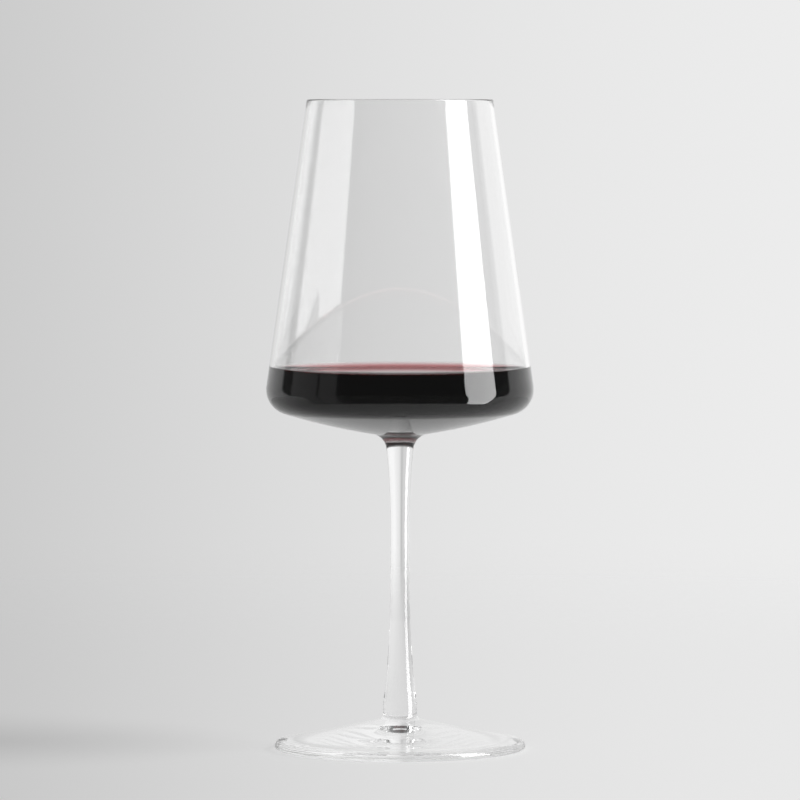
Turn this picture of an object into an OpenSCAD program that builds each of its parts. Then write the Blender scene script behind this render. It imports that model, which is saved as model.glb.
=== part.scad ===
// A tall stemmed wine glass with red wine standing in the lower part of its bowl.
//
// The bowl, the stem and the foot are one piece of blown and drawn glass, so they
// are one solid. The wine is the second solid: it takes the shape of the inside of
// the bowl, from the bottom of the bowl up to the level of the wine.
//
// Millimetres. +Z is up. The origin is at the centre of the foot, on the table.

/* [Bowl] */
// Height of the rim above the table
glass_height = 226; // [200:0.5:275]
// Outside diameter of the bowl at the rim
rim_d = 64.8; // [52:0.2:80]
// Outside diameter of the bowl at its widest place, low on the bowl
bowl_d = 93; // [76:0.2:115]
// Height of the underside of the bowl, taken at the axis
bowl_base_z = 108.5; // [88:0.1:132]
// Slope of the underside of the bowl where it leaves the stem, in degrees
belly_slope = 6.6; // [4:0.1:9]
// Radius of the slow upward curve of the underside, seen in section
belly_radius = 226; // [180:1:300]
// Outside radius of the turn between the underside and the wall
turn_radius = 8.8; // [6:0.1:11]

/* [Wall] */
// Thickness of the glass at the rim
rim_wall = 1.3; // [0.9:0.05:1.8]
// Thickness of the glass at the widest place
low_wall = 1.7; // [1.2:0.05:2.4]
// Thickness of the glass at the axis, between the underside and the wine
base_wall = 5.2; // [4:0.1:7]
// Slope of the inside bottom at the axis, in degrees
floor_slope = 1.5; // [0:0.1:3]
// Radius of the upward curve of the inside bottom, seen in section
floor_radius = 200; // [160:1:280]
// Inside radius of the turn between the bottom and the wall
inner_turn_radius = 9.5; // [6:0.1:12]

/* [Stem] */
// Diameter of the stem just below the bowl
neck_d = 9.3; // [7:0.1:12]
// Radius of the hollow turn that carries the stem into the bowl
neck_turn = 5.9; // [4:0.1:8]
// Diameter of the stem at its narrowest place
waist_d = 6.6; // [5.4:0.1:8]
// Height of the narrowest place
waist_z = 76.9; // [62:0.1:92]
// Diameter of the stem where it stands on the foot
stem_base_d = 11.9; // [9:0.1:15]
// Height at which the stem has spread to that diameter
spread_z = 15.6; // [13:0.1:19]
// How late the stem spreads on its way down: 2 is early, 4 is late
spread_power = 3.3; // [2.2:0.1:4.2]

/* [Foot] */
// Diameter of the foot
foot_d = 87.4; // [72:0.2:106]
// Thickness of the foot at its edge
foot_edge = 3.1; // [2.4:0.1:4]
// Radius of the lower half of the edge, down to the flat ring
edge_low_r = 1; // [0.6:0.1:1.4]
// Height of the top of the foot beside the stem
foot_top_z = 10.6; // [9:0.1:12.8]
// How far the middle of the foot's top lies under a straight cone
foot_sag = 0.35; // [0:0.05:0.6]
// Radius of the turn between the stem and the foot
foot_turn = 2; // [1:0.1:2.6]
// Width of the flat ring the glass stands on
ring_width = 4.0; // [2.5:0.1:6]
// Rise of the hollow underside at the axis
hollow_rise = 3.6; // [2:0.1:5]

/* [Wine] */
// Depth of the wine at the axis
wine_depth = 17.4; // [14:0.1:30]

/* [Hidden] */
// Steps round the axis.
$fn = 128;
// Steps along a bottom curve and its turn: outside, then inside.
outside_steps = 18;
inside_steps = 14;
// Steps along the other curves of the section.
neck_steps = 12;
rim_steps = 10;
hollow_steps = 10;
edge_low_steps = 5;
edge_top_steps = 8;
foot_steps = 12;
foot_turn_steps = 6;
stem_high_steps = 18;
stem_low_steps = 26;
// Points nearer to each other than this are one point.
least_step = 0.002;

bowl_r = bowl_d / 2;
rim_r = rim_d / 2;
stem_base_r = stem_base_d / 2;
waist_r = waist_d / 2;
neck_r = neck_d / 2;
foot_r = foot_d / 2;
floor_z = bowl_base_z + base_wall;
wine_z = floor_z + wine_depth;

// An arc about centre c from angle a to angle b, as points [radius, height].
function arc(c, r, a, b, n) =
    [for (i = [0 : n]) let (t = a + (b - a) * i / n) [c[0] + r * cos(t), c[1] + r * sin(t)]];

// A bottom curve leaves the axis at height z0 with slope s and bends upward along
// a circle of radius r. This is the centre of that circle.
function bottom_centre(z0, s, r) = [-r * sin(s), z0 + r * cos(s)];

// Centre of the turn of radius t that touches the bottom circle from inside and
// reaches out to radius edge.
function turn_centre(c, r, edge, t) =
    [edge - t, c[1] - sqrt(pow(r - t, 2) - pow(edge - t - c[0], 2))];

// Angle, seen from p, of the point of q.
function bearing(p, q) = atan2(q[1] - p[1], q[0] - p[0]);

// Angle, about the turn's centre, of the place where the straight wall that comes
// down from point p meets the turn without a corner.
function touch_angle(p, c, t) = bearing(c, p) - acos(t / norm(p - c));

// The bottom and the turn of a bowl skin, from the axis out to the straight wall.
function skin(z0, s, r, edge, t, top, n) =
    let (c = bottom_centre(z0, s, r), k = turn_centre(c, r, edge, t), a = bearing(c, k))
    concat(arc(c, r, s - 90, a, n), arc(k, t, a, touch_angle(top, k, t), n));

// The outside of the bowl, without the part of it that the stem takes up.
outer_centre = bottom_centre(bowl_base_z, belly_slope, belly_radius);
neck_centre = [neck_r + neck_turn, outer_centre[1]
    - sqrt(pow(belly_radius + neck_turn, 2) - pow(neck_r + neck_turn - outer_centre[0], 2))];
neck_angle = bearing(outer_centre, neck_centre);
turn_c = turn_centre(outer_centre, belly_radius, bowl_r, turn_radius);
turn_a = bearing(outer_centre, turn_c);
outer_top = [rim_r, glass_height - rim_wall / 2];

// The inside of the bowl.
inner_top = [rim_r - rim_wall, glass_height - rim_wall / 2];
inner_skin = skin(floor_z, floor_slope, floor_radius, bowl_r - low_wall, inner_turn_radius,
    inner_top, inside_steps);
wall_foot = inner_skin[len(inner_skin) - 1];

// Radius of the inside wall at height z, on the straight part of the wall.
function wall_r(z) = wall_foot[0]
    + (inner_top[0] - wall_foot[0]) * (z - wall_foot[1]) / (inner_top[1] - wall_foot[1]);

// The stem: thick under the bowl, thin at the waist, wide again on the foot.
function stem_r(z) = z > waist_z
    ? waist_r + (neck_r - waist_r) * pow((z - waist_z) / (neck_centre[1] - waist_z), 2)
    : waist_r + (stem_base_r - waist_r) * pow((waist_z - z) / (waist_z - spread_z), spread_power);
stem_line = concat(
    [for (i = [0 : stem_high_steps - 1])
        let (z = neck_centre[1] + (waist_z - neck_centre[1]) * i / stem_high_steps) [stem_r(z), z]],
    [for (i = [0 : stem_low_steps])
        let (z = waist_z + (spread_z - waist_z) * i / stem_low_steps) [stem_r(z), z]]);

// The foot: a low cone from the stem to an edge that is rounder above than below,
// on a flat ring.
edge_top_r = foot_edge - edge_low_r;
edge_low_c = [foot_r - edge_low_r, edge_low_r];
edge_top_c = [foot_r - edge_top_r, edge_low_r];
foot_run = edge_top_c[0] - stem_base_r;
cone_fall = (foot_top_z - foot_edge) / foot_run;
edge_slope = atan(cone_fall - 4 * foot_sag / foot_run);
stem_slope = atan(cone_fall + 4 * foot_sag / foot_run);
// The top of the foot starts where its curve touches the rounded edge, and rises
// to the stem along a parabola.
edge_p = edge_top_c + edge_top_r * [sin(edge_slope), cos(edge_slope)];
function foot_z(r) = edge_p[1] + (edge_p[0] - r) * tan(edge_slope)
    + 4 * foot_sag * pow((edge_p[0] - r) / foot_run, 2);
foot_turn_r = stem_base_r + foot_turn;
turn_foot_r = foot_turn_r - foot_turn * sin(stem_slope);
foot_turn_c = [foot_turn_r, foot_z(turn_foot_r) + foot_turn * cos(stem_slope)];
ring_r = edge_low_c[0] - ring_width;
hollow_r = (pow(ring_r, 2) + pow(hollow_rise, 2)) / (2 * hollow_rise);
hollow_a = asin(ring_r / hollow_r);

glass_line = concat(
    arc([0, hollow_rise - hollow_r], hollow_r, 90, 90 - hollow_a, hollow_steps),
    arc(edge_low_c, edge_low_r, -90, 0, edge_low_steps),
    arc(edge_top_c, edge_top_r, 0, 90 - edge_slope, edge_top_steps),
    [for (i = [1 : foot_steps])
        let (r = edge_p[0] + (turn_foot_r - edge_p[0]) * i / foot_steps) [r, foot_z(r)]],
    arc(foot_turn_c, foot_turn, 270 - stem_slope, 180, foot_turn_steps),
    [for (i = [len(stem_line) - 1 : -1 : 0]) stem_line[i]],
    arc(neck_centre, neck_turn, 180, neck_angle + 180, neck_steps),
    arc(outer_centre, belly_radius, neck_angle, turn_a, outside_steps),
    arc(turn_c, turn_radius, turn_a, touch_angle(outer_top, turn_c, turn_radius), outside_steps),
    arc([rim_r - rim_wall / 2, glass_height - rim_wall / 2], rim_wall / 2, 0, 180, rim_steps),
    [for (i = [len(inner_skin) - 1 : -1 : 0]) inner_skin[i]]);

wine_line = concat(
    [for (p = inner_skin) if (p[1] < wine_z - least_step) p],
    [[wall_r(wine_z), wine_z], [0, wine_z]]);

// Drops points that repeat the one before them.
function clean(l) = [for (i = [0 : len(l) - 1])
    if (i == 0 || norm(l[i] - l[i - 1]) > least_step) [max(0, l[i][0]), l[i][1]]];

// Bowl, stem and foot in one piece of clear glass.
module glass() {
    color([0.90, 0.92, 0.92, 0.35]) rotate_extrude() polygon(clean(glass_line));
}

// The red wine standing in the bowl.
module wine() {
    color([0.16, 0.02, 0.04]) rotate_extrude() polygon(clean(wine_line));
}

glass();
wine();
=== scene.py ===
import math

import bpy
import numpy as np
from mathutils import Euler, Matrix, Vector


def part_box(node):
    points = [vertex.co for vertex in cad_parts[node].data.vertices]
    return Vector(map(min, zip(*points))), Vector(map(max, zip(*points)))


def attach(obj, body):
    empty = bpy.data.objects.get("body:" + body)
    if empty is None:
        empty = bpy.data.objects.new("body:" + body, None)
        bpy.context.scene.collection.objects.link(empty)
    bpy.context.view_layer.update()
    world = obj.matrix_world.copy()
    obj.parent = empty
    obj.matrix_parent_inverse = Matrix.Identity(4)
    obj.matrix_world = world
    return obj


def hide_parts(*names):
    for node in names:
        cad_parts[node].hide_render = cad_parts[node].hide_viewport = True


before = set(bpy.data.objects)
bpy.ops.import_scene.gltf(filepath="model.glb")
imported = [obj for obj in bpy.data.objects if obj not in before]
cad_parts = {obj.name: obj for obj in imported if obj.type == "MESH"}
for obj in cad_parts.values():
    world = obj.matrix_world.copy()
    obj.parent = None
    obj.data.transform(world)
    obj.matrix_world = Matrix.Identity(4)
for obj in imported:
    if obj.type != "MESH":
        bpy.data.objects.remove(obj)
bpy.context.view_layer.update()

# A stemmed glass of red wine. The glass and the wine are surfaces of revolution whose profiles
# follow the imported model's own sizes, at a finer step. Lengths are in metres, angles in degrees.
MM = 0.001

# ---------------------------------------------------------------- sizes taken from the frame
glass_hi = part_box("glass")[1]
wine_lo, wine_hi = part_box("wine")
RIM_Z = glass_hi.z
BOWL_R = glass_hi.x
FLOOR_Z = wine_lo.z
WINE_Z = wine_hi.z

# ---------------------------------------------------------------- sizes of the sections
RIM_R = 32.4 * MM
RIM_WALL = 1.3 * MM
BOWL_BASE_Z = 108.5 * MM
BELLY_SLOPE = 6.6
BELLY_RADIUS = 226 * MM
TURN_RADIUS = 8.8 * MM
LOW_WALL = 1.7 * MM
FLOOR_SLOPE = 1.5
FLOOR_RADIUS = 200 * MM
INNER_TURN = 9.5 * MM
NECK_R = 4.65 * MM
NECK_TURN = 5.9 * MM
WAIST_R = 3.3 * MM
WAIST_Z = 76.9 * MM
STEM_BASE_R = 5.95 * MM
SPREAD_Z = 15.6 * MM
SPREAD_POWER = 3.3
FOOT_R = 43.7 * MM
FOOT_EDGE = 3.1 * MM
EDGE_LOW = 1.0 * MM
FOOT_TOP_Z = 10.6 * MM
FOOT_SAG = 0.35 * MM
FOOT_TURN = 2.0 * MM
RING_WIDTH = 4.0 * MM
HOLLOW_RISE = 3.6 * MM

# The wine climbs the glass in a short curl, worked out between these two slopes after its steep
# start. Its side stands this far inside the wall, so that no gap shows.
CURL_RISE = 2.1 * MM
CURL_SCALE = 1.55 * MM
CURL_BEND_END = 0.12
CURL_FLAT = 0.002
INTO_WALL = 0.03 * MM

# Points nearer to each other than this are one point.
SAME_POINT = 2e-6

# Points along the stretches of the profiles that follow a curve of their own.
SPREAD_POINTS = 50
NECK_POINTS = 24
CONE_POINTS = 26
OUTER_WALL_POINTS = 31
DRY_WALL_POINTS = 30
WET_WALL_POINTS = 4
CURL_POINTS = 30
CURL_END_POINTS = 14
LEVEL_POINTS = 12

# Steps along the arcs of the profiles.
HOLLOW_STEPS = 16
EDGE_LOW_STEPS = 8
EDGE_TOP_STEPS = 14
FOOT_TURN_STEPS = 10
INSIDE_STEPS = 30
NECK_TURN_STEPS = 24
OUTSIDE_STEPS = 36
RIM_STEPS = 16

# Steps round the axis.
SEGMENTS = 192


# ---------------------------------------------------------------- profiles
def arc(c, r, a, b, n):
    """Points on a circle of radius r about c, from angle a to angle b, n steps."""
    t = np.radians(np.linspace(a, b, n + 1))
    return np.stack([c[0] + r * np.cos(t), c[1] + r * np.sin(t)], 1)


def bottom_centre(z0, slope, r):
    """Centre of the circle that leaves the axis at height z0 with this slope and bends upward."""
    return np.array([-r * math.sin(math.radians(slope)), z0 + r * math.cos(math.radians(slope))])


def turn_centre(c, r, edge, t):
    """Centre of the turn of radius t that touches the bottom circle from inside and reaches edge."""
    return np.array([edge - t, c[1] - math.sqrt((r - t) ** 2 - (edge - t - c[0]) ** 2)])


def bearing(p, q):
    """Angle of point q seen from point p."""
    return math.degrees(math.atan2(q[1] - p[1], q[0] - p[0]))


def touch_angle(p, c, t):
    """Angle about c where a straight line from p touches the circle of radius t about c."""
    return bearing(c, p) - math.degrees(math.acos(t / math.dist(p, c)))


def joined(*parts):
    """The parts of a profile one after the other, without points that repeat."""
    line = np.concatenate(parts)
    step = np.linalg.norm(np.diff(line, axis=0), axis=1)
    line = line[np.concatenate([[True], step > SAME_POINT])]
    line[:, 0] = np.maximum(line[:, 0], 0)
    return line


outer_c = bottom_centre(BOWL_BASE_Z, BELLY_SLOPE, BELLY_RADIUS)
neck_x = NECK_R + NECK_TURN
neck_drop = math.sqrt((BELLY_RADIUS + NECK_TURN) ** 2 - (neck_x - outer_c[0]) ** 2)
neck_c = np.array([neck_x, outer_c[1] - neck_drop])
neck_a = bearing(outer_c, neck_c)
turn_c = turn_centre(outer_c, BELLY_RADIUS, BOWL_R, TURN_RADIUS)
turn_a = bearing(outer_c, turn_c)
outer_top = np.array([RIM_R, RIM_Z - RIM_WALL / 2])
inner_top = np.array([RIM_R - RIM_WALL, RIM_Z - RIM_WALL / 2])
floor_c = bottom_centre(FLOOR_Z, FLOOR_SLOPE, FLOOR_RADIUS)
inner_c = turn_centre(floor_c, FLOOR_RADIUS, BOWL_R - LOW_WALL, INNER_TURN)
inner_a = bearing(floor_c, inner_c)
inner_touch = touch_angle(inner_top, inner_c, INNER_TURN)
wall_foot = arc(inner_c, INNER_TURN, inner_touch, inner_touch, 0)[0]


def wall_r(z):
    """Radius of the straight inside wall at height z."""
    share = (z - wall_foot[1]) / (inner_top[1] - wall_foot[1])
    return wall_foot[0] + (inner_top[0] - wall_foot[0]) * share


def stem_profile():
    """The stem from foot to bowl: a power curve that spreads down to the foot, and a parabola up to
    the neck."""
    z = np.linspace(SPREAD_Z, WAIST_Z, SPREAD_POINTS)
    low = WAIST_R + (STEM_BASE_R - WAIST_R) * ((WAIST_Z - z) / (WAIST_Z - SPREAD_Z)) ** SPREAD_POWER
    y = np.linspace(WAIST_Z, neck_c[1], NECK_POINTS)[1:-1]
    high = WAIST_R + (NECK_R - WAIST_R) * ((y - WAIST_Z) / (neck_c[1] - WAIST_Z)) ** 2
    return np.concatenate([np.stack([low, z], 1), np.stack([high, y], 1)])


def foot_profile():
    """The foot from the axis below, over the edge, and up its sagging cone to the stem."""
    top_r = FOOT_EDGE - EDGE_LOW
    low_c = np.array([FOOT_R - EDGE_LOW, EDGE_LOW])
    top_c = np.array([FOOT_R - top_r, EDGE_LOW])
    run = top_c[0] - STEM_BASE_R
    fall = (FOOT_TOP_Z - FOOT_EDGE) / run
    edge_slope = math.degrees(math.atan(fall - 4 * FOOT_SAG / run))
    stem_slope = math.degrees(math.atan(fall + 4 * FOOT_SAG / run))
    e = math.radians(edge_slope)
    p = top_c + top_r * np.array([math.sin(e), math.cos(e)])

    def top_z(r):
        return p[1] + (p[0] - r) * math.tan(e) + 4 * FOOT_SAG * ((p[0] - r) / run) ** 2

    s = math.radians(stem_slope)
    turn_r = STEM_BASE_R + FOOT_TURN
    last_r = turn_r - FOOT_TURN * math.sin(s)
    turn = np.array([turn_r, top_z(last_r) + FOOT_TURN * math.cos(s)])
    ring = low_c[0] - RING_WIDTH
    hollow_r = (ring ** 2 + HOLLOW_RISE ** 2) / (2 * HOLLOW_RISE)
    hollow_a = math.degrees(math.asin(ring / hollow_r))
    r = np.linspace(p[0], last_r, CONE_POINTS)[1:]
    return joined(
        arc([0, HOLLOW_RISE - hollow_r], hollow_r, 90, 90 - hollow_a, HOLLOW_STEPS),
        arc(low_c, EDGE_LOW, -90, 0, EDGE_LOW_STEPS),
        arc(top_c, top_r, 0, 90 - edge_slope, EDGE_TOP_STEPS),
        np.stack([r, top_z(r)], 1),
        arc(turn, FOOT_TURN, 270 - stem_slope, 180, FOOT_TURN_STEPS),
    )


contact_z = WINE_Z + CURL_RISE
inner_wall_z = np.concatenate([
    np.linspace(inner_top[1], contact_z, DRY_WALL_POINTS),
    np.linspace(contact_z, wall_foot[1], WET_WALL_POINTS)[1:-1],
])
inner_wall = np.stack([wall_r(inner_wall_z), inner_wall_z], 1)
inner_bottom = joined(
    arc(inner_c, INNER_TURN, inner_touch, inner_a, INSIDE_STEPS),
    arc(floor_c, FLOOR_RADIUS, inner_a, FLOOR_SLOPE - 90, INSIDE_STEPS),
)
outer_bowl = joined(
    arc(neck_c, NECK_TURN, 180, neck_a + 180, NECK_TURN_STEPS),
    arc(outer_c, BELLY_RADIUS, neck_a, turn_a, OUTSIDE_STEPS),
    arc(turn_c, TURN_RADIUS, turn_a, touch_angle(outer_top, turn_c, TURN_RADIUS), OUTSIDE_STEPS),
)
up_wall = np.linspace(0, 1, OUTER_WALL_POINTS)[1:-1, None]
outer_wall = outer_bowl[-1] + (outer_top - outer_bowl[-1]) * up_wall
glass_line = joined(
    foot_profile(), stem_profile(), outer_bowl, outer_wall,
    arc([RIM_R - RIM_WALL / 2, RIM_Z - RIM_WALL / 2], RIM_WALL / 2, 0, 180, RIM_STEPS),
    inner_wall[1:], inner_bottom,
)
glass_line[-1, 0] = 0


def wine_profile():
    """The wine: up the bottom and the wall just inside the glass, then in along the curl and the level
    top. The curl is the shape a liquid takes against a wall: where it slopes by s, its height is
    2 a sin(s/2) and its reach a (ln cot(s/4) - 2 cos(s/2)), with a its scale."""
    wall = joined(inner_wall[inner_wall[:, 1] < contact_z + SAME_POINT], inner_bottom)[::-1]
    side = np.gradient(wall, axis=0)
    side /= np.linalg.norm(side, axis=1)[:, None]
    out = wall + INTO_WALL * np.stack([side[:, 1], -side[:, 0]], 1)
    out[0, 0] = 0
    steepest = 2 * math.asin(CURL_RISE / (2 * CURL_SCALE))
    slope = np.concatenate([
        np.linspace(steepest, CURL_BEND_END, CURL_POINTS),
        np.geomspace(CURL_BEND_END, CURL_FLAT, CURL_END_POINTS)[1:],
    ])
    reach = CURL_SCALE * (np.log(1 / np.tan(slope / 4)) - 2 * np.cos(slope / 2))
    height = WINE_Z + 2 * CURL_SCALE * np.sin(slope / 2)
    curl = np.stack([wall_r(contact_z) - reach + reach[0], height], 1)
    level = np.linspace(curl[-1, 0], 0, LEVEL_POINTS)[1:]
    return out, np.concatenate([curl, np.stack([level, np.full_like(level, WINE_Z)], 1)])


# ---------------------------------------------------------------- mesh making
def revolve(name, line, segments):
    """A profile [radius, height] turned about the axis: a ring of points for each profile point, and
    one point for each end, on the axis. Faces point to the right of the way the profile runs. Gives
    the piece and, for each face, the step of the profile that it belongs to."""
    t = np.linspace(0, 2 * math.pi, segments, endpoint=False)
    rings = line[1:-1]
    n = len(rings)
    ring_points = np.stack([
        rings[:, 0, None] * np.cos(t),
        rings[:, 0, None] * np.sin(t),
        np.repeat(rings[:, 1, None], segments, 1),
    ], 2).reshape(-1, 3)
    points = np.concatenate([[[0, 0, line[0, 1]]], ring_points, [[0, 0, line[-1, 1]]]])
    j = np.arange(segments)
    k = (j + 1) % segments
    i = np.arange(n - 1)[:, None] * segments + 1
    quads = np.stack([i + j, i + k, i + segments + k, i + segments + j], 2).reshape(-1, 4)
    last = 1 + (n - 1) * segments
    first_fan = np.stack([np.zeros_like(j), 1 + k, 1 + j], 1)
    last_fan = np.stack([last + j, last + k, np.full_like(j, last + segments)], 1)
    mesh = bpy.data.meshes.new(name)
    mesh.from_pydata(points.tolist(), [], first_fan.tolist() + quads.tolist() + last_fan.tolist())
    mesh.update(calc_edges=True)
    mesh.shade_smooth()
    piece = bpy.data.objects.new(name, mesh)
    bpy.context.scene.collection.objects.link(piece)
    band = np.repeat(np.arange(n + 1), segments)
    return piece, band


def sharp_ring(mesh, ring, segments):
    """Marks the edges round one ring of a revolved mesh as sharp."""
    ends = np.empty(len(mesh.edges) * 2, np.int32)
    mesh.edges.foreach_get("vertices", ends)
    ends = ends.reshape(-1, 2)
    first = 1 + ring * segments
    on = ((ends >= first) & (ends < first + segments)).all(1)
    mark = mesh.attributes.new("sharp_edge", "BOOLEAN", "EDGE")
    mark.data.foreach_set("value", on)


# ---------------------------------------------------------------- node helpers
class Tree:
    """A short way to write a node tree: each call adds a node and gives back its output."""

    def __init__(self, tree):
        self.tree = tree

    def put(self, socket, value):
        if isinstance(value, bpy.types.NodeSocket):
            self.tree.links.new(value, socket)
        else:
            socket.default_value = value

    def node(self, kind, **settings):
        node = self.tree.nodes.new(kind)
        for key, value in settings.items():
            setattr(node, key, value)
        return node

    def math(self, operation, *values, clamp=False):
        node = self.node("ShaderNodeMath", operation=operation, use_clamp=clamp)
        for socket, value in zip(node.inputs, values):
            self.put(socket, value)
        return node.outputs[0]

    def ramp(self, value, low, high, to_low=0.0, to_high=1.0, kind="SMOOTHSTEP"):
        node = self.node("ShaderNodeMapRange", interpolation_type=kind)
        for socket, v in zip(node.inputs, (value, low, high, to_low, to_high)):
            self.put(socket, v)
        return node.outputs[0]

    def mix(self, factor, a, b):
        node = self.node("ShaderNodeMix", data_type="FLOAT")
        for socket, v in zip((node.inputs[0], node.inputs[2], node.inputs[3]), (factor, a, b)):
            self.put(socket, v)
        return node.outputs[0]

    def mix_shader(self, factor, a, b):
        node = self.node("ShaderNodeMixShader")
        for socket, v in zip(node.inputs, (factor, a, b)):
            self.put(socket, v)
        return node.outputs[0]


def new_material(name):
    """A material with nothing in its node tree yet."""
    material = bpy.data.materials.new(name)
    material.use_nodes = True
    material.node_tree.nodes.clear()
    return material, Tree(material.node_tree)


# ---------------------------------------------------------------- camera
CAMERA_BACK = 2.0
CAMERA_HEIGHT = 0.2215
CAMERA_DOWN = 2.859
LENS = 259.2
SENSOR = 36

# ---------------------------------------------------------------- studio
# Directions are angles round the axis. Front angles are 0 towards the camera and grow to the right.
# Back angles are 0 behind the glass and grow to the right. Rise is the angle above level. A pair of
# rises or angles is where a change starts and where it ends.
DARK_FRONT = 0.13
DARK_THROUGH = 0.06

LAMP_SEEN = 8.0
LAMP_THROUGH = 3.0
LAMP_START = 58.5
LAMP_START_LOW = 69.0
LAMP_START_SHIFT = (-2.0, -40.0)
LAMP_END = 91.0
LAMP_END_FAR = 124.0
LAMP_SOFT = 0.6
LAMP_TOP = (70.0, 55.0)
LAMP_BOTTOM = (-60.0, -50.0)

# The two halves of the card: first angle, last angle and softness.
CARD_GLOW = 0.27
CARD_BANDS = ((-108.0, -77.0, 1.5), (-75.0, -57.0, 1.0))

BACKDROP_RIGHT = 110.0
BACKDROP_RIGHT_FAR = 128.0
BACKDROP_RIGHT_SOFT = 1.5
BACKDROP_LEFT = -123.5
BACKDROP_LEFT_SOFT = 2.5
SWEEP = 22.0
SWEEP_SHIFT = (6.0, -24.0)
SWEEP_RIGHT_SHARE = 0.6

# The backdrop's tone: a step, and then rises given by first angle, last angle and gain.
TONE_MIDDLE = 0.664
TONE_STEP = 0.205
TONE_STEP_AT = -2.5
TONE_STEP_WIDTH = 5.0
TONE_RISES = ((-4.0, -13.0, 0.22), (-13.0, -35.0, 0.13), (5.0, 25.0, 0.13))
TONE_FRONT = 0.82

FLOOR_SHARE = 0.96
FLOOR_LIT = 0.15
FLOOR_WHITE = 0.8
FLOOR_TOP = -0.2 * MM
FLOOR_RINGS = np.concatenate([np.linspace(0, 0.3, 13)[1:], np.linspace(0.36, 1.2, 10)])
FLOOR_SEGMENTS = 96
FLOOR_FADE = (0.3, 1.0)
TABLE_FRONT = 0.2
TABLE_BACK = 0.65
TABLE_SIDE = (80, 95)
TABLE_SOFT = 0.01

SUN_WIDTH = 30
SUN_TILT = 52
SUN_TURN = -10


def backdrop_group():
    """Brightness of the pale surroundings by back angle: a middle tone plus tanh of the angle over a
    width, so darker on the left, then rises further out on both sides, and one tone in front."""
    group = bpy.data.node_groups.new("backdrop_tone", "ShaderNodeTree")
    group.interface.new_socket("Angle", in_out="INPUT", socket_type="NodeSocketFloat")
    group.interface.new_socket("Tone", in_out="OUTPUT", socket_type="NodeSocketFloat")
    t = Tree(group)
    angle = t.node("NodeGroupInput").outputs["Angle"]
    past_step = t.math("SUBTRACT", angle, TONE_STEP_AT)
    step = t.math("TANH", t.math("DIVIDE", past_step, TONE_STEP_WIDTH))
    tone = t.math("MULTIPLY_ADD", step, TONE_STEP, TONE_MIDDLE)
    for first, last, gain in TONE_RISES:
        tone = t.math("ADD", tone, t.ramp(angle, first, last, 0.0, gain))
    in_front = t.ramp(t.math("ABSOLUTE", angle), 90.0, 180.0)
    t.put(t.node("NodeGroupOutput").inputs["Tone"], t.mix(in_front, tone, TONE_FRONT))
    return group


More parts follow.
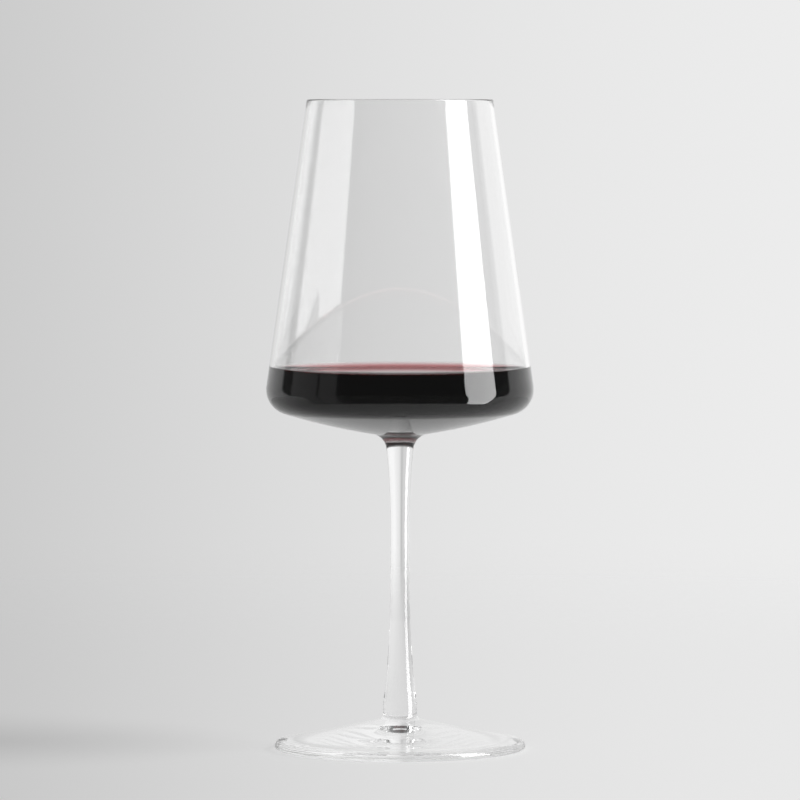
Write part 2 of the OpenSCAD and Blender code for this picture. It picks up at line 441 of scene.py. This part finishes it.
def make_world(group):
    """Pale all round where it is seen straight or through clear glass. In reflections it is a studio: a
    dark front, a tall lamp on the right, a grey card on the left, and the pale backdrop behind. It is
    fitted, and isn't one consistent room: the lamp and the dark front are dimmer where the last
    surface bent the light than where it mirrored it, and after more than two bends, as in the far
    wall of the bowl, the lamp is wider and the backdrop starts further round. None of it lights the
    floor."""
    world = bpy.data.worlds.new("studio")
    bpy.context.scene.world = world
    world.use_nodes = True
    world.node_tree.nodes.clear()
    t = Tree(world.node_tree)
    xyz = t.node("ShaderNodeSeparateXYZ")
    t.put(xyz.inputs[0], t.node("ShaderNodeTexCoord").outputs["Generated"])
    x, y, z = xyz.outputs
    deg = math.degrees(1)
    back = t.math("MULTIPLY", t.math("ARCTAN2", x, y), deg)
    front = t.math("MULTIPLY", t.math("ARCTAN2", x, t.math("MULTIPLY", y, -1.0)), deg)
    rise = t.math("MULTIPLY", t.math("ARCSINE", z), deg)
    toned = t.node("ShaderNodeGroup", node_tree=group)
    t.put(toned.inputs[0], back)
    pale = toned.outputs[0]

    path = t.node("ShaderNodeLightPath")
    through = path.outputs["Is Transmission Ray"]
    far_wall = t.math("GREATER_THAN", path.outputs["Transmission Depth"], 2.5)
    mirrored = t.math("GREATER_THAN", path.outputs["Glossy Depth"], 0.5)
    diffuse = t.math("GREATER_THAN", path.outputs["Diffuse Depth"], 0.5)

    def band(first, last, soft):
        after_first = t.ramp(t.math("SUBTRACT", front, first), -soft, soft)
        before_last = t.ramp(t.math("SUBTRACT", front, last), soft, -soft)
        return t.math("MULTIPLY", after_first, before_last)

    # Low down the lamp's near edge moves outward, which rounds the lower corner of its strip.
    lamp_start = t.ramp(rise, *LAMP_START_SHIFT, LAMP_START, LAMP_START_LOW, "LINEAR")
    lamp_end = t.mix(far_wall, LAMP_END, LAMP_END_FAR)
    lamp_reach = t.math("MULTIPLY", t.ramp(rise, *LAMP_TOP), t.ramp(rise, *LAMP_BOTTOM))
    lamp = t.math("MULTIPLY", band(lamp_start, lamp_end, LAMP_SOFT), lamp_reach)
    lamp = t.math("MULTIPLY", lamp, t.mix(through, LAMP_SEEN, LAMP_THROUGH))
    card = t.math("ADD", *(t.math("MULTIPLY", band(*edges), CARD_GLOW) for edges in CARD_BANDS))
    dark = t.mix(through, DARK_FRONT, DARK_THROUGH)

    # Low down the backdrop curves forward on both sides, which rounds the dark front's corners.
    sweep = t.ramp(rise, *SWEEP_SHIFT, 0.0, SWEEP)
    right_edge = t.mix(far_wall, BACKDROP_RIGHT, BACKDROP_RIGHT_FAR)
    past_right = t.math("MULTIPLY_ADD", sweep, SWEEP_RIGHT_SHARE, t.math("SUBTRACT", front, right_edge))
    past_left = t.math("SUBTRACT", t.math("SUBTRACT", front, BACKDROP_LEFT), sweep)
    right_side = t.ramp(past_right, -BACKDROP_RIGHT_SOFT, BACKDROP_RIGHT_SOFT)
    left_side = t.ramp(past_left, BACKDROP_LEFT_SOFT, -BACKDROP_LEFT_SOFT)
    behind = t.math("ADD", right_side, left_side, clamp=True)

    studio = t.mix(behind, t.math("ADD", t.math("ADD", dark, card), lamp), pale)
    light = t.mix(diffuse, t.mix(mirrored, pale, studio), 0.0)
    background = t.node("ShaderNodeBackground")
    t.put(background.inputs["Color"], light)
    t.put(t.node("ShaderNodeOutputWorld").inputs["Surface"], background.outputs[0])
    world.cycles.sampling_method = "NONE"


def floor_mesh():
    """A flat disc: a middle point and rings round it, closer together near the glass."""
    r = FLOOR_RINGS[:, None]
    turn = np.linspace(0, 2 * math.pi, FLOOR_SEGMENTS, endpoint=False)
    height = np.full((len(r), FLOOR_SEGMENTS), FLOOR_TOP)
    rings = np.stack([r * np.cos(turn), r * np.sin(turn), height], 2)
    points = np.concatenate([[[0, 0, FLOOR_TOP]], rings.reshape(-1, 3)])
    j = np.arange(FLOOR_SEGMENTS)
    k = (j + 1) % FLOOR_SEGMENTS
    i = np.arange(len(r) - 1)[:, None] * FLOOR_SEGMENTS + 1
    quads = np.stack([i + j, i + FLOOR_SEGMENTS + j, i + FLOOR_SEGMENTS + k, i + k], 2).reshape(-1, 4)
    fan = np.stack([np.zeros_like(j), 1 + j, 1 + k], 1)
    mesh = bpy.data.meshes.new("floor")
    mesh.from_pydata(points.tolist(), [], fan.tolist() + quads.tolist())
    return mesh


def make_floor(group):
    """A pale disc that melts into the backdrop towards its own edge, and in reflections ends at the
    edge of a table that reaches further behind the glass than before it. It glows with a share of
    the backdrop's tone, less what the sun adds. The tone fans out from the main camera's place, so
    it meets the backdrop's without a seam in the main view only."""
    mesh = floor_mesh()
    floor = bpy.data.objects.new("floor", mesh)
    bpy.context.scene.collection.objects.link(floor)

    material, t = new_material("pale_floor")
    mesh.materials.append(material)
    xyz = t.node("ShaderNodeSeparateXYZ")
    t.put(xyz.inputs[0], t.node("ShaderNodeTexCoord").outputs["Object"])
    x, y, _ = xyz.outputs
    from_camera = t.math("ARCTAN2", x, t.math("ADD", y, CAMERA_BACK))
    toned = t.node("ShaderNodeGroup", node_tree=group)
    t.put(toned.inputs[0], t.math("MULTIPLY", from_camera, math.degrees(1)))
    glow = t.math("SUBTRACT", t.math("MULTIPLY", toned.outputs[0], FLOOR_SHARE), FLOOR_LIT)
    emission = t.node("ShaderNodeEmission")
    t.put(emission.inputs["Color"], glow)
    diffuse = t.node("ShaderNodeBsdfDiffuse")
    diffuse.inputs["Color"].default_value = (FLOOR_WHITE, FLOOR_WHITE, FLOOR_WHITE, 1)
    pale = t.node("ShaderNodeAddShader")
    t.put(pale.inputs[0], emission.outputs[0])
    t.put(pale.inputs[1], diffuse.outputs[0])

    path = t.node("ShaderNodeLightPath")
    mirrored = t.math("GREATER_THAN", path.outputs["Glossy Depth"], 0.5)
    radius = t.math("SQRT", t.math("ADD", t.math("MULTIPLY", x, x), t.math("MULTIPLY", y, y)))
    side = t.math("ABSOLUTE", t.math("ARCTAN2", x, t.math("MULTIPLY", y, -1.0)))
    edge = t.ramp(side, *np.radians(TABLE_SIDE), TABLE_FRONT, TABLE_BACK)
    past_table = t.ramp(t.math("SUBTRACT", radius, edge), -TABLE_SOFT, TABLE_SOFT)
    gone = t.mix(mirrored, t.ramp(radius, *FLOOR_FADE), past_table)
    clear = t.node("ShaderNodeBsdfTransparent")
    surface = t.mix_shader(gone, pale.outputs[0], clear.outputs[0])
    t.put(t.node("ShaderNodeOutputMaterial").inputs["Surface"], surface)


def make_sun():
    """A wide sun on the right that no glass mirrors or shows. It lights the floor as much as the
    floor's own glow leaves out, and casts the shadows on it."""
    light = bpy.data.lights.new("side_lamp", "SUN")
    light.angle = math.radians(SUN_WIDTH)
    light.energy = FLOOR_LIT * math.pi / (FLOOR_WHITE * math.cos(math.radians(SUN_TILT)))
    sun = bpy.data.objects.new("side_lamp", light)
    sun.rotation_euler = Euler((0, math.radians(SUN_TILT), math.radians(SUN_TURN)))
    sun.visible_camera = False
    sun.visible_glossy = False
    sun.visible_transmission = False
    bpy.context.scene.collection.objects.link(sun)


backdrop = backdrop_group()
make_world(backdrop)
make_floor(backdrop)
make_sun()


# ---------------------------------------------------------------- materials
GLASS_IOR = 1.5
WAVE_SCALE = 70
WAVE_STRETCH = (1, 1, 0.35)
WAVE_HEIGHT = 0.02 * MM
SHADOW_FACING = (0.3, 1.0)
SHADOW_CLEAR = 0.92
SHADOW_EDGE = 0.3

WINE_IOR = 1.34
WINE_LEFT = (0.667, 0.0, 0.04, 1)
WINE_DENSITY = 790
WINE_GLOSS = (0.03, 0.002, 0.005, 1)
WINE_GLOSS_ROUGHNESS = 0.08


def glass_material(name, ior):
    """Clear blown glass with a very slightly wavy skin. Its shadow is a stand-in: light for shadows
    isn't bent, passes nearly whole where it meets the glass straight on, and less at a glancing
    angle."""
    material, t = new_material(name)
    place = t.node("ShaderNodeTexCoord").outputs["Object"]
    shift = t.node("ShaderNodeMapping")
    t.put(shift.inputs["Vector"], place)
    shift.inputs["Scale"].default_value = WAVE_STRETCH
    wave = t.node("ShaderNodeTexNoise")
    t.put(wave.inputs["Vector"], shift.outputs[0])
    wave.inputs["Scale"].default_value = WAVE_SCALE
    wave.inputs["Detail"].default_value = 1
    bump = t.node("ShaderNodeBump")
    bump.inputs["Strength"].default_value = 1
    bump.inputs["Distance"].default_value = WAVE_HEIGHT
    t.put(bump.inputs["Height"], wave.outputs[0])
    glass = t.node("ShaderNodeBsdfPrincipled")
    glass.inputs["Base Color"].default_value = (1, 1, 1, 1)
    glass.inputs["Roughness"].default_value = 0
    glass.inputs["IOR"].default_value = ior
    glass.inputs["Transmission Weight"].default_value = 1
    t.put(glass.inputs["Normal"], bump.outputs[0])
    clear = t.node("ShaderNodeBsdfTransparent")
    edge = t.node("ShaderNodeLayerWeight")
    edge.inputs["Blend"].default_value = 0.5
    passed = t.ramp(edge.outputs["Facing"], *SHADOW_FACING, SHADOW_CLEAR, SHADOW_EDGE)
    t.put(clear.inputs["Color"], passed)
    path = t.node("ShaderNodeLightPath")
    surface = t.mix_shader(path.outputs["Is Shadow Ray"], glass.outputs[0], clear.outputs[0])
    t.put(t.node("ShaderNodeOutputMaterial").inputs["Surface"], surface)
    return material


def wine_material(name):
    """Red wine: a clear top that bends light, and a body that takes light away with depth. Its side
    doesn't bend light, because the wetted glass before it does that for both. Seen with no glass
    before it, the side is a dark red gloss."""
    material, t = new_material(name)
    top = t.node("ShaderNodeBsdfPrincipled")
    top.inputs["Base Color"].default_value = (1, 1, 1, 1)
    top.inputs["Roughness"].default_value = 0
    top.inputs["IOR"].default_value = WINE_IOR
    top.inputs["Transmission Weight"].default_value = 1
    body = t.node("ShaderNodeBsdfPrincipled")
    body.inputs["Base Color"].default_value = WINE_GLOSS
    body.inputs["Roughness"].default_value = WINE_GLOSS_ROUGHNESS
    body.inputs["IOR"].default_value = WINE_IOR
    clear = t.node("ShaderNodeBsdfTransparent")
    path = t.node("ShaderNodeLightPath")
    mark = t.node("ShaderNodeAttribute", attribute_name="free_top")
    side = t.mix_shader(path.outputs["Is Camera Ray"], clear.outputs[0], body.outputs[0])
    surface = t.mix_shader(mark.outputs["Fac"], side, top.outputs[0])
    depth = t.node("ShaderNodeVolumeAbsorption")
    depth.inputs["Color"].default_value = WINE_LEFT
    depth.inputs["Density"].default_value = WINE_DENSITY
    out = t.node("ShaderNodeOutputMaterial")
    t.put(out.inputs["Surface"], surface)
    t.put(out.inputs["Volume"], depth.outputs[0])
    return material


# ---------------------------------------------------------------- pieces
glass_piece, glass_band = revolve("wine_glass", glass_line, SEGMENTS)
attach(glass_piece, "root")
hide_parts("glass")
glass_piece.data.materials.append(glass_material("clear_glass", GLASS_IOR))
glass_piece.data.materials.append(glass_material("clear_glass_wetted", GLASS_IOR / WINE_IOR))
# The profile goes up outside, over the rim and down inside, where the wine wets it below the curl.
rim_point = int(np.argmax(glass_line[:, 1]))
first_wet = rim_point + int(np.argmax(glass_line[rim_point:, 1] < contact_z + SAME_POINT))
wet = (glass_band >= first_wet).astype(np.int32)
glass_piece.data.polygons.foreach_set("material_index", wet)

wine_out, wine_top = wine_profile()
wine_piece, wine_band = revolve("red_wine", np.concatenate([wine_out, wine_top]), SEGMENTS)
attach(wine_piece, "root")
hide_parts("wine")
free = wine_piece.data.attributes.new("free_top", "FLOAT", "FACE")
free.data.foreach_set("value", (wine_band >= len(wine_out)).astype(np.float32))
sharp_ring(wine_piece.data, len(wine_out) - 1, SEGMENTS)
wine_piece.data.materials.append(wine_material("red_wine"))

# ---------------------------------------------------------------- picture
camera_data = bpy.data.cameras.new("camera")
camera_data.lens = LENS
camera_data.sensor_width = SENSOR
camera = bpy.data.objects.new("camera", camera_data)
camera.location = (0, -CAMERA_BACK, CAMERA_HEIGHT)
camera.rotation_euler = (math.radians(90 - CAMERA_DOWN), 0, 0)
bpy.context.scene.collection.objects.link(camera)
bpy.context.scene.camera = camera

# The most surfaces that light is followed through.
BOUNCES = 64
CLEAR_BOUNCES = 16
scene = bpy.context.scene
scene.view_settings.view_transform = "Standard"
scene.view_settings.look = "None"
scene.cycles.max_bounces = BOUNCES
scene.cycles.transmission_bounces = BOUNCES
scene.cycles.glossy_bounces = BOUNCES
scene.cycles.transparent_max_bounces = CLEAR_BOUNCES
